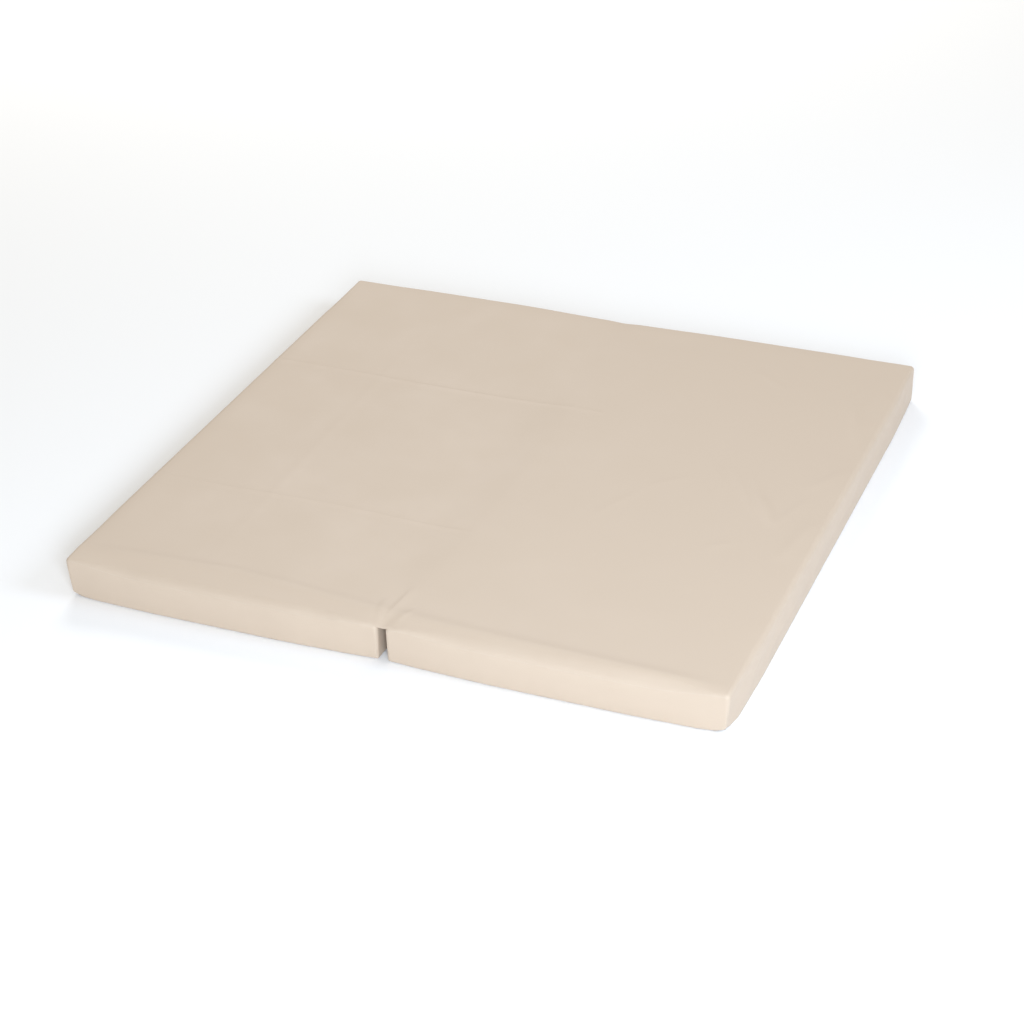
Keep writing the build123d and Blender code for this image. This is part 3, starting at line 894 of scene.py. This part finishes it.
@dataclass
class HalfJacket:
    """The walls and the underside of one half."""

    shape: CoverShape
    side: Side
    cloth: bpy.types.Material
    under: bpy.types.Material
    sewing: Seamstress
    zip_z: float
    slot_length: float = 1444 * MM
    slot_height: float = 12 * MM

    def wall_lines(self, wall: Wall) -> tuple[Array, Array]:
        """Grid lines of a wall, along and down."""
        arc = np.linspace(0, 1, 6)
        run = 2 * (self.shape.half_depth if wall in (Wall.SIDE, Wall.HINGE) else self.shape.half_width / 2)
        if wall is Wall.HINGE:
            end = 0.5 * self.slot_length
            straight = lines_of(0, 1, 10 * MM / run, [(0.5 + k * end / run, 10 * MM / run, 1.2 * MM / run) for k in (-1, 1)])
            half = self.slot_height / 2
            levels = np.concatenate(
                (np.linspace(88 * MM, self.zip_z + half, 5), np.linspace(self.zip_z + half, self.zip_z - half, 9)[1:], np.linspace(self.zip_z - half, 8 * MM, 6)[1:])
            )
            down = 1 + (88 * MM - levels) / (80 * MM)
        else:
            straight = lines_of(0, 1, 11 * MM / run)
            down = np.linspace(1, 2, 11)
        t = np.concatenate(([-0.1], arc[:-1], 1 + straight, 2 + arc[1:], [3.1]))
        q = np.concatenate(([-0.1], np.linspace(0, 1, 6)[:-1], down, 2 + np.linspace(0, 1, 5)[1:], [3.1]))
        return t, q

    def cut_slot(self, bm: bmesh.types.BMesh) -> None:
        """Opens the zip's slot in the hinge wall, with round ends.

        Args:
            bm: the wall.
        """
        radius, straight = self.slot_height / 2, (self.slot_length - self.slot_height) / 2

        def reach(p: Vector) -> tuple[float, Vector]:
            """Distance from the slot's middle line, and the way out of it."""
            out = Vector((0, p.y - max(-straight, min(straight, p.y)), p.z - self.zip_z))
            return out.length, out

        inside = [f for f in bm.faces if reach(f.calc_center_median())[0] < radius]
        bmesh.ops.delete(bm, geom=inside, context="FACES")
        for vert in bm.verts:
            gap, out = reach(vert.co)
            if vert.is_boundary and gap < 2 * radius and gap > 0.1 * MM:
                vert.co = vert.co + out * ((radius - gap) / gap)

    def wall(self, wall: Wall) -> bpy.types.Object:
        """Makes one wall.

        Args:
            wall: which wall.

        Returns:
            The cloth wall.
        """
        s, name = self.shape, f"{wall.name.lower()}_wall_{self.side.word}"
        t, q = self.wall_lines(wall)
        sign = self.side.value
        ways = {Wall.FRONT: Vector((0, -1, 0)), Wall.SIDE: Vector((sign, 0, 0)), Wall.BACK: Vector((0, 1, 0)), Wall.HINGE: Vector((-sign, 0, 0))}
        bm = grid_piece(name, t, q, lambda a, b: s.wall(self.side, wall, a, b), lambda _: ways[wall])
        if wall is Wall.HINGE:
            self.cut_slot(bm)
        cloth = thicken(make_object(f"{name}_cloth", bm, self.cloth), s.cloth)
        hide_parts(name)
        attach(cloth, self.side.body)
        return report(cloth)

    def underside(self) -> bpy.types.Object:
        """Makes the scrim panel that lies on the floor."""
        s, name = self.shape, f"bottom_panel_{self.side.word}"
        zone = s.rim_zone
        near, far = sorted((self.side.value * s.wall_x, self.side.value * s.half_width))
        steps = np.concatenate((np.linspace(0, 0.5, 4), np.linspace(0.5, 1, 5)[1:], [1.02])) * zone

        def lines(low: float, high: float) -> Array:
            """Grid lines from rim to rim."""
            return np.concatenate((low + zone - steps[:0:-1], lines_of(low + zone, high - zone, 20 * MM), high - zone + steps[1:]))

        bm = grid_piece(
            name, lines(near, far), lines(-s.half_depth, s.half_depth), lambda a, b: s.plate(a, b, (near, far), True), lambda _: Vector((0, 0, -1))
        )
        scrim = thicken(make_object(f"underside_{self.side.word}", bm, self.under), s.cloth)
        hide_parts(name)
        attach(scrim, self.side.body)
        return report(scrim)

    def topstitch(self) -> bpy.types.Object:
        """Sews the rows beside the rim seam, down the corners and round the zip slot."""
        s, tracks = self.shape, []
        for wall in (Wall.FRONT, Wall.SIDE, Wall.BACK):
            t = np.concatenate((np.linspace(0.35, 1, 6), 1 + np.linspace(0, 1, 240)[1:], 2 + np.linspace(0, 0.65, 6)[1:]))
            c = np.full_like(t, 0.42)
            tracks.append(s.wall(self.side, wall, t, c))
            for end in (0.35, 2.65):
                q = np.linspace(0.5, 2.3, 24)
                tracks.append(s.wall(self.side, wall, np.full_like(q, end), q))
        gap, half, depth = 2.4 * MM + self.slot_height / 2, self.slot_length / 2, self.side.value * s.wall_x
        for level in (self.zip_z + gap, self.zip_z - gap):
            y = np.linspace(-half + 4 * MM, half - 4 * MM, 60)
            points = np.stack([np.full_like(y, depth), y, np.full_like(y, level)], -1)
            tracks.append((points, np.tile([-self.side.value, 0.0, 0.0], (len(y), 1))))
        thread = self.sewing.rows(f"topstitch_{self.side.word}", tracks)
        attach(thread, self.side.body)
        return report(thread)

    def build(self) -> None:
        """Makes every piece of this half's jacket."""
        for wall in Wall:
            self.wall(wall)
        self.underside()
        self.topstitch()


@dataclass
class HingeBand:
    """The webbing sewn under the top cloth along the fold, which takes the strain of folding."""

    shape: CoverShape
    webbing: bpy.types.Material
    sewing: Seamstress
    thickness: float = 0.8 * MM

    def under(self, a: Array, b: Array, drop: float) -> tuple[Array, Array]:
        """A surface that follows the top cloth from below.

        Args:
            a: plan x.
            b: plan y.
            drop: how far below the cloth's outer face.

        Returns:
            Points and downward normals.
        """
        z = self.shape.top_z(a, b) - drop
        return np.stack([a, b, z], -1), np.tile([0.0, 0.0, -1.0], (len(a), 1))

    def build(self) -> None:
        """Makes the band and its stitching."""
        s = self.shape
        low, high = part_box("hinge_reinforcement")
        edge = s.half_depth - 24 * MM
        u, v = np.linspace(low.x, high.x, 15), lines_of(-edge, edge, 9 * MM)
        drop = s.cloth + 0.4 * MM + self.thickness
        bm = grid_piece("hinge_band", u, v, lambda a, b: self.under(a, b, drop), lambda _: Vector((0, 0, -1)))
        band = thicken(make_object("hinge_band", bm, self.webbing), self.thickness)
        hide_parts("hinge_reinforcement")
        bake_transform(band)
        report(band)
        tracks = []
        for x in (low.x + 2 * MM, high.x - 2 * MM):
            y = np.linspace(-edge + 6 * MM, edge - 6 * MM, 300)
            tracks.append(self.under(np.full_like(y, x), y, drop))
        thread = self.sewing.rows("hinge_band_stitching", tracks)
        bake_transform(thread)
        report(thread)


# ---------------------------------------------------------------- the zips


@dataclass
class Zip:
    """One half's zip: woven tapes and two rows of coil. Slider, tab and stops are the CAD's own."""

    side: Side
    tape: bpy.types.Material
    coil: bpy.types.Material
    metal: bpy.types.Material
    pitch: float = 1.3 * MM
    wire: float = 0.75 * MM

    def woven_tape(self, row: str) -> bpy.types.Object:
        """Makes one tape.

        Args:
            row: upper or lower.

        Returns:
            The tape.
        """
        node = f"zip_tape_{row}_{self.side.word}"
        low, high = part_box(node)
        inward = 1 if row == "lower" else -1
        u, v = np.linspace(0, 1, 15), lines_of(low.y, high.y, 12 * MM)
        face = low.x if self.side is Side.RIGHT else high.x
        flip = self.side.value

        def lay(a: Array, b: Array) -> tuple[Array, Array]:
            """The tape's outer face, a little ribbed and wavy where it is free."""
            z = (low.z if inward > 0 else high.z) + inward * a * (high.z - low.z)
            x = face + flip * 0.08 * MM * (1 + np.sin(b * 61) * (1 - a))
            return np.stack([x, b, z], -1), np.tile([-flip, 0.0, 0.0], (len(a), 1))

        bm = grid_piece(node, u, v, lay, lambda _: Vector((-flip, 0, 0)))
        tape = thicken(make_object(f"woven_{node}", bm, self.tape), 0.5 * MM)
        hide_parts(node)
        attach(tape, self.side.body)
        return report(tape)

    def coil_row(self, row: str) -> bpy.types.Object:
        """Makes one row of coil turns from a single turn repeated along the tape.

        Args:
            row: upper or lower.

        Returns:
            The coil.
        """
        node = f"zip_coil_{row}_{self.side.word}"
        low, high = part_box(node)
        middle, size = (low + high) / 2, high - low
        bm = bmesh.new()
        ring = bmesh.ops.create_circle(bm, cap_ends=False, segments=6, radius=self.wire / 2)["verts"]
        bmesh.ops.rotate(bm, verts=ring, cent=(0, 0, 0), matrix=Matrix.Rotation(math.pi / 2, 3, "X"))
        bmesh.ops.translate(bm, verts=ring, vec=(1.0 * MM, 0, 0))
        bmesh.ops.rotate(bm, verts=ring, cent=(0, 0, 0), matrix=Matrix.Rotation(math.pi / 2, 3, "Y"))
        edges = list(bm.edges)
        bmesh.ops.spin(
            bm, geom=ring + edges, cent=(0, 0, 0), axis=(0, 1, 0), angle=2 * math.pi, steps=9, use_merge=True, use_normal_flip=False, use_duplicate=False
        )
        bmesh.ops.remove_doubles(bm, verts=bm.verts, dist=0.01 * MM)
        reach = 1.0 * MM + self.wire / 2
        scale = Vector((size.x / 2 / reach, 1, size.z / 2 / reach))
        bmesh.ops.scale(bm, vec=scale, verts=bm.verts)
        lean = Matrix.Identity(4)
        lean[1][0] = 0.28
        bmesh.ops.transform(bm, matrix=lean, verts=bm.verts)
        start = low.y + 0.8 * MM
        bmesh.ops.translate(bm, verts=bm.verts, vec=(middle.x, start, middle.z))
        bmesh.ops.recalc_face_normals(bm, faces=bm.faces)
        coil = make_object(f"coil_turns_{node}", bm, self.coil)
        turns = coil.modifiers.new("turns", "ARRAY")
        turns.use_relative_offset = False
        turns.use_constant_offset = True
        turns.constant_offset_displace = (0, self.pitch, 0)
        turns.count = int((size.y - 1.6 * MM) / self.pitch)
        bake(coil)
        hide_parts(node)
        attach(coil, self.side.body)
        return report(coil)

    def build(self) -> None:
        """Makes the tapes and coils and plates the metal parts."""
        for row in ("upper", "lower"):
            self.woven_tape(row)
            self.coil_row(row)
        for part in ("stops", "slider", "pull_tab"):
            dress(f"zip_{part}_{self.side.word}", self.metal)


def dress(node: str, material: bpy.types.Material) -> None:
    """Gives a carried-over CAD node its finish.

    Args:
        node: the CAD node.
        material: its finish.
    """
    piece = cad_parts[node]
    piece.data.materials.clear()
    piece.data.materials.append(material)
    report(piece)


# ---------------------------------------------------------------- the core


@dataclass
class Core:
    """One half's foam slab with its kerf, the steel channel and the vapour film round them."""

    shape: CoverShape
    side: Side
    foam: bpy.types.Material
    film: bpy.types.Material
    steel: bpy.types.Material
    top: float = 102.5 * MM

    def block(self, inset: float, top: float, segments: int) -> bmesh.types.BMesh:
        """A slab with soft top edges that stays inside the jacket.

        Args:
            inset: distance from the outline.
            top: its top's height.
            segments: of its round edges.

        Returns:
            The mesh.
        """
        s = self.shape
        base = 1.6 * MM + inset / 4
        hinge_gap = s.wall_x + 2.8 * MM + inset
        wide = s.half_width - inset - hinge_gap - 1 * MM
        size = Vector((wide, 2 * (s.half_depth - inset - 1 * MM), top - base))
        middle = Vector((self.side.value * (hinge_gap + wide / 2), 0, base + size.z / 2))
        bm = bmesh.new()
        bmesh.ops.create_cube(bm, size=1, matrix=Matrix.Translation(middle) @ Matrix.Diagonal((*size, 1)))
        upright = [e for e in bm.edges if abs(e.verts[0].co.z - e.verts[1].co.z) > 1 * MM]
        bmesh.ops.bevel(bm, geom=upright, offset=16 * MM, affect="EDGES", segments=segments, profile=0.5, material=-1)
        rim = [e for e in bm.edges if all(v.co.z > top - 0.01 * MM for v in e.verts)]
        bmesh.ops.bevel(bm, geom=rim, offset=9 * MM, affect="EDGES", segments=segments, profile=0.5, material=-1)
        foot = [e for e in bm.edges if all(v.co.z < base + 0.01 * MM for v in e.verts)]
        bmesh.ops.bevel(bm, geom=foot, offset=7 * MM, affect="EDGES", segments=segments, profile=0.5, material=-1)
        self.slice(bm)
        self.settle(bm, inset)
        return bm

    def slice(self, bm: bmesh.types.BMesh) -> None:
        """Cuts the slab's faces across, closer near its edges, so that it can take a soft shape.

        Args:
            bm: the slab.
        """
        s = self.shape
        ends = [(k * s.half_depth, 30 * MM, 8 * MM) for k in (-1, 1)]
        across = lines_of(s.wall_x, s.half_width, 60 * MM, [(s.half_width, 30 * MM, 8 * MM), (s.wall_x, 20 * MM, 15 * MM)])
        cuts = [(Vector((self.side.value * a, 0, 0)), Vector((1, 0, 0))) for a in across[1:-1]]
        cuts += [(Vector((0, a, 0)), Vector((0, 1, 0))) for a in lines_of(-s.half_depth, s.half_depth, 60 * MM, ends)[1:-1]]
        cuts += [(Vector((0, 0, z * MM)), Vector((0, 0, 1))) for z in (20, 40, 60, 80)]
        for place, way in cuts:
            bmesh.ops.bisect_plane(bm, geom=bm.verts[:] + bm.edges[:] + bm.faces[:], plane_co=place, plane_no=way, dist=0.01 * MM)

    def settle(self, bm: bmesh.types.BMesh, inset: float) -> None:
        """Presses the slab's top and bottom corners in, so that it lies inside the jacket.

        Args:
            bm: the slab.
            inset: the slab's distance from the outline.
        """
        s = self.shape
        co = np.array([v.co for v in bm.verts])
        x, y, z = co.T
        cx, cy = s.from_corner(x, y)
        down = np.clip(1 - (z - 6 * MM) / (92 * MM), 0, 1) ** 1.6
        sign = np.sign(x)
        # The underside's lift spreads outward across its rim zone, so the slab looks it up further out
        spread = [np.minimum(c, np.clip(2 * c - s.rim_zone, 0, None)) for c in (cx, cy)]
        far_x, far_y = x + sign * (cx - spread[0]) * np.where(np.abs(x) - s.wall_x < cx + 1e-6, -1, 1), y + np.sign(y) * (cy - spread[1])
        lift = (s.under_z(far_x, far_y) + 0.3 * MM) * np.clip(1 - z / (50 * MM), 0, 1)
        x2 = x - sign * down * s.tuck_in(x, y, cy, 1) * (s.half_width - np.abs(x) < 40 * MM)
        x2 = x2 + sign * down * s.tuck_in(x, y, cy, 1) * (np.abs(x) - s.wall_x < 30 * MM)
        y2 = y - np.sign(y) * down * s.tuck_in(x, y, cx, 0) * (cy < 40 * MM)
        edge = 1 - ease((np.minimum(s.half_width - np.abs(x), s.half_depth - np.abs(y)) - 60 * MM) / (90 * MM))
        roof = s.skin_z(x, y) - s.cloth - 0.25 * inset - 0.4 * MM - 1.6 * MM * edge
        z2 = np.where(z > 50 * MM, np.minimum(z, roof), z + lift)
        for vert, place in zip(bm.verts, np.stack([x2, y2, z2], -1)):
            vert.co = place

    def kerf(self) -> bpy.types.Object:
        """The cutter for the channel's kerf, from three plates."""
        low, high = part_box(f"hinge_channel_{self.side.word}")
        room, sheet = 0.2 * MM, 1.0 * MM
        back = low.x if self.side is Side.RIGHT else high.x
        bm = bmesh.new()
        reach = high.x - low.x
        web_x = back + self.side.value * (sheet - room - 4 * MM) / 2
        plates = [
            (Vector((web_x, 0, (low.z + high.z) / 2)), Vector((sheet + room + 4 * MM, 2, high.z - low.z + 2 * room))),
            *[
                (Vector((back + self.side.value * (reach + room) / 2, 0, z)), Vector((reach + room, 2, sheet + 2 * room)))
                for z in (low.z + sheet / 2, high.z - sheet / 2)
            ],
        ]
        for middle, size in plates:
            bmesh.ops.create_cube(bm, size=1, matrix=Matrix.Translation(middle) @ Matrix.Diagonal((*size, 1)))
        return make_object("kerf_cutter", bm, self.foam)

    def build(self) -> None:
        """Makes the slab and its wrap and dresses the channel."""
        slab = make_object(f"foam_slab_{self.side.word}", self.block(3 * MM, self.top, 5), self.foam, 30)
        cutter = self.kerf()
        cut = slab.modifiers.new("kerf", "BOOLEAN")
        cut.operation, cut.object, cut.solver, cut.use_self = "DIFFERENCE", cutter, "EXACT", True
        bake(slab, 30)
        bpy.data.objects.remove(cutter)
        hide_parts(f"foam_core_{self.side.word}")
        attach(slab, self.side.body)
        report(slab)
        bm = self.block(1.6 * MM, self.top + 1.0 * MM, 5)
        film = thicken(make_object(f"vapour_film_{self.side.word}", bm, self.film, 30), 0.3 * MM)
        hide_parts(f"vapour_wrap_{self.side.word}")
        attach(film, self.side.body)
        report(film)
        dress(f"hinge_channel_{self.side.word}", self.steel)


# ---------------------------------------------------------------- the studio


@dataclass(frozen=True)
class Studio:
    """A pale floor, soft lights from the front, the right and over the back, and a long lens."""

    target: tuple[float, float, float] = (0.02575, -0.09626, 0.0)
    azimuth: float = 22.865
    elevation: float = 30.633
    distance: float = 5.8346
    roll: float = -1.5836
    lens: float = 83.886
    sky: float = 0.57

    @staticmethod
    def direction(azimuth: float, elevation: float) -> Vector:
        """The way from the cover to something round it.

        Args:
            azimuth: degrees from the front towards the right.
            elevation: degrees above the floor.

        Returns:
            A unit vector.
        """
        a, e = math.radians(azimuth), math.radians(elevation)
        return Vector((math.sin(a) * math.cos(e), -math.cos(a) * math.cos(e), math.sin(e)))

    def camera(self) -> None:
        """Sets up the camera."""
        scene = bpy.context.scene
        back = self.direction(self.azimuth, self.elevation)
        right = (-back).cross(Vector((0, 0, 1))).normalized()
        up = right.cross(-back)
        tilt = math.radians(self.roll)
        across = right * math.cos(tilt) + up * math.sin(tilt)
        above = up * math.cos(tilt) - right * math.sin(tilt)
        data = bpy.data.cameras.new("camera")
        data.lens, data.sensor_width, data.clip_end = self.lens, 36, 60
        eye = bpy.data.objects.new("camera", data)
        scene.collection.objects.link(eye)
        eye.matrix_world = Matrix.Translation(Vector(self.target) + back * self.distance) @ Matrix((across, above, back)).transposed().to_4x4()
        scene.camera = eye

    def lights(self) -> None:
        """Sets up the even light of the room and the key light."""
        scene = bpy.context.scene
        world = bpy.data.worlds.new("studio")
        world.use_nodes = True
        tree = world.node_tree
        tree.nodes.clear()
        sky = add_node(tree, "ShaderNodeBackground", {"Color": linear("FFFBF3"), "Strength": self.sky})
        add_node(tree, "ShaderNodeOutputWorld", links={"Surface": sky.outputs[0]})
        scene.world = world
        scene.view_settings.view_transform = "Standard"
        self.softbox("key", "E4F0FF", 204.0, 2.0, self.direction(24.0, 25.0) * 5.2, Vector())
        self.softbox("side_fill", "DCEBFF", 88.0, 2.0, self.direction(88.0, 36.0) * 5.0, Vector())
        self.softbox("back_fill", "FFFFFF", 300.0, 4.0, Vector((-3.4, 6.2, 5.2)), Vector((-3.2, 5.6, 0)))

    @staticmethod
    def softbox(name: str, tint: str, power: float, size: float, place: Vector, target: Vector) -> None:
        """Hangs one round soft light.

        Args:
            name: the light's name.
            tint: its colour, as sRGB hex.
            power: in watts.
            size: its diameter.
            place: where it hangs.
            target: where it points.
        """
        data = bpy.data.lights.new(name, "AREA")
        data.shape, data.size, data.energy = "DISK", size, power
        data.color = linear(tint)[:3]
        lamp = bpy.data.objects.new(name, data)
        bpy.context.scene.collection.objects.link(lamp)
        lamp.matrix_world = Matrix.Translation(place) @ (place - target).to_track_quat("Z", "Y").to_matrix().to_4x4()
        lamp.visible_camera = False

    def floor(self) -> None:
        """Lays the pale floor, as matt painted board."""
        board, tree, shader = new_finish("matt_white_paint", {"Base Color": linear("F5F5F5"), "Roughness": 0.9, "Specular IOR Level": 0.1})
        at = add_node(tree, "ShaderNodeTexCoord").outputs["Object"]
        grit = add_node(tree, "ShaderNodeTexNoise", {"Scale": 400.0}, {"Vector": at})
        bump = add_node(tree, "ShaderNodeBump", {"Strength": 0.02, "Distance": 0.1 * MM}, {"Height": grit.outputs[0]})
        tree.links.new(bump.outputs[0], shader.inputs["Normal"])
        bm = bmesh.new()
        bmesh.ops.create_grid(bm, x_segments=2, y_segments=2, size=15)
        ground = make_object("floor", bm, board)
        ground.data.transform(Matrix.Translation((0, 0, -0.3 * MM)))

    def build(self) -> None:
        """Sets up camera, lights and floor."""
        self.camera()
        self.lights()
        self.floor()


def main() -> None:
    logging.basicConfig(level=logging.INFO, format="%(name)s %(message)s")
    Studio().build()
    shape = CoverShape.from_frame()
    vinyl = CoatedCloth().material()
    scrim = Woven("polyester_scrim", "D2C6B8", "B9AC9D", 2.4 * MM).material()
    webbing = Woven("polyester_webbing", "CFC2B3", "B2A595", 1.8 * MM).material()
    tape = Woven("polyester_zip_tape", "D0C4B6", "BBAE9F", 1.0 * MM).material()
    thread = Woven("bonded_polyester_thread", "D9CEC0", "C6BAAB", 0.6 * MM, 0.6).material()
    foam, film, steel = BeadFoam().material(), VapourFilm().material(), GalvanisedSteel().material()
    coil, metal = NylonFilament().material(), NickelPlate().material()
    sewing = Seamstress(thread)
    for side in Side:
        low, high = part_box(f"zip_slider_{side.word}")
        Core(shape, side, foam, film, steel).build()
        HalfJacket(shape, side, vinyl, scrim, sewing, round((low.z + high.z) / 2, 4)).build()
        Zip(side, tape, coil, metal).build()
    TopCloth(shape, vinyl).build()
    HingeBand(shape, webbing, sewing).build()


if __name__ == "__main__":
    main()
